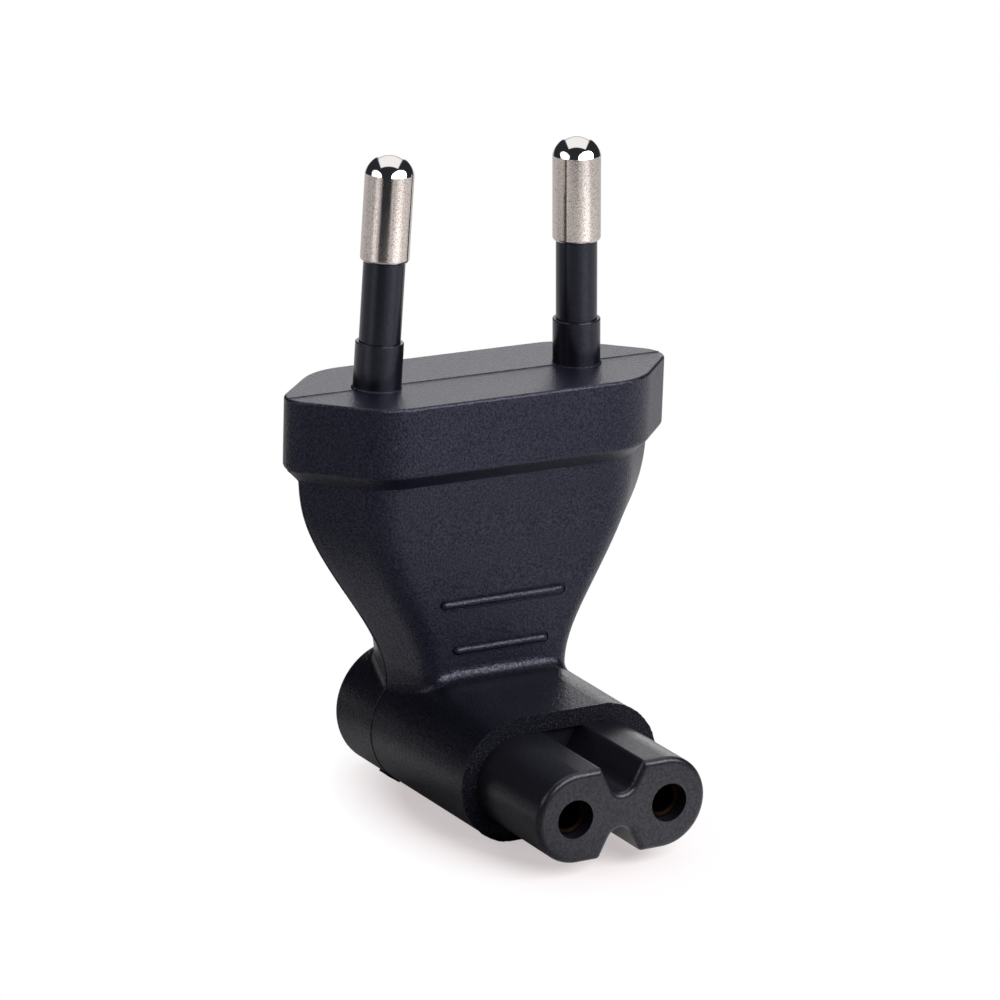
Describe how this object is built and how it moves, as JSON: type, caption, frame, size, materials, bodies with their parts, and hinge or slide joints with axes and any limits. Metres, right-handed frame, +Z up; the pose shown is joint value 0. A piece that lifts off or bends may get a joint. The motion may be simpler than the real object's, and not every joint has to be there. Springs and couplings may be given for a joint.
{
  "type": "angled plug adapter",
  "caption": "Right-angled mains adapter: a flat plug with sleeved round pins stands on a waisted neck above a barrel that ends in a figure-8 appliance socket.",
  "frame": {"origin": "on the flat underside of the barrel, below the middle of the plug face", "axes": "+Z up along the pins, +X along the pins' spacing, -Y out of the figure-8 nose"},
  "size_m": [0.0348, 0.0312, 0.0534],
  "materials": {
    "pvc_overmould": "fine-grained black flexible PVC",
    "insert_plastic": "satin black moulded plastic",
    "bridge_plastic": "smooth black moulded plastic",
    "sleeve_plastic": "smooth black insulating sleeve",
    "nickel_plate": "nickel-plated rolled brass, satin with a polished end",
    "contact_brass": "bare stamped brass",
    "copper_core": "bare copper",
    "wire_pvc": "extruded wire insulation"
  },
  "bodies": {
    "root": {"moulded_body": "pvc_overmould", "connector_insert": "insert_plastic", "pin_bridge": "bridge_plastic", "sleeve_left": "sleeve_plastic", "sleeve_right": "sleeve_plastic", "pin_left": "nickel_plate", "pin_right": "nickel_plate", "contact_left": "contact_brass", "contact_right": "contact_brass", "wire_left": "copper_core", "wire_right": "copper_core", "wire_insulation_left": "wire_pvc", "wire_insulation_right": "wire_pvc"}
  },
  "joints": []
}
